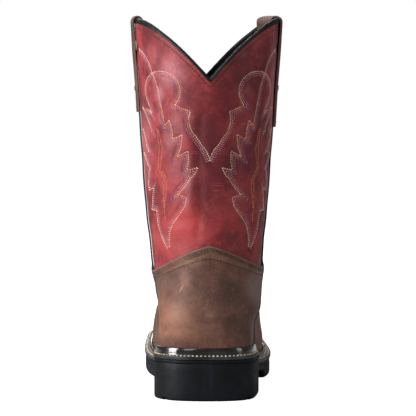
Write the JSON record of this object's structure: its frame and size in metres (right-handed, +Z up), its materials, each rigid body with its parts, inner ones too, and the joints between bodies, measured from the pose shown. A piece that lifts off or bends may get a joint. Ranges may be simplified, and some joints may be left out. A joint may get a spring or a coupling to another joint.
{
  "type": "western work boot",
  "caption": "Right pull-on western work boot with a scalloped shaft, side pull straps, square toe, storm welt and block heel.",
  "frame": {"origin": "on the floor, in the middle of the heel's bottom face", "axes": "+Z up along the shaft, +Y forward to the toe, +X to the outer (lateral) side of this right boot"},
  "size_m": [0.1243, 0.3, 0.3079],
  "materials": {
    "red_leather": "distressed, semi-gloss",
    "brown_leather": "oiled pull-up, satin",
    "black_trim": "satin",
    "welt_rubber": "glossy",
    "sole_rubber": "matt",
    "insole_fabric": "matt"
  },
  "bodies": {
    "root": {"upper": "red_leather", "outsole": "sole_rubber", "heel": "sole_rubber", "welt": "welt_rubber", "insole": "insole_fabric", "counter": "brown_leather", "vamp": "brown_leather", "piping_lateral": "black_trim", "piping_medial": "black_trim", "collar_binding": "black_trim", "pull_strap_lateral": "brown_leather", "pull_strap_medial": "brown_leather"}
  },
  "joints": []
}
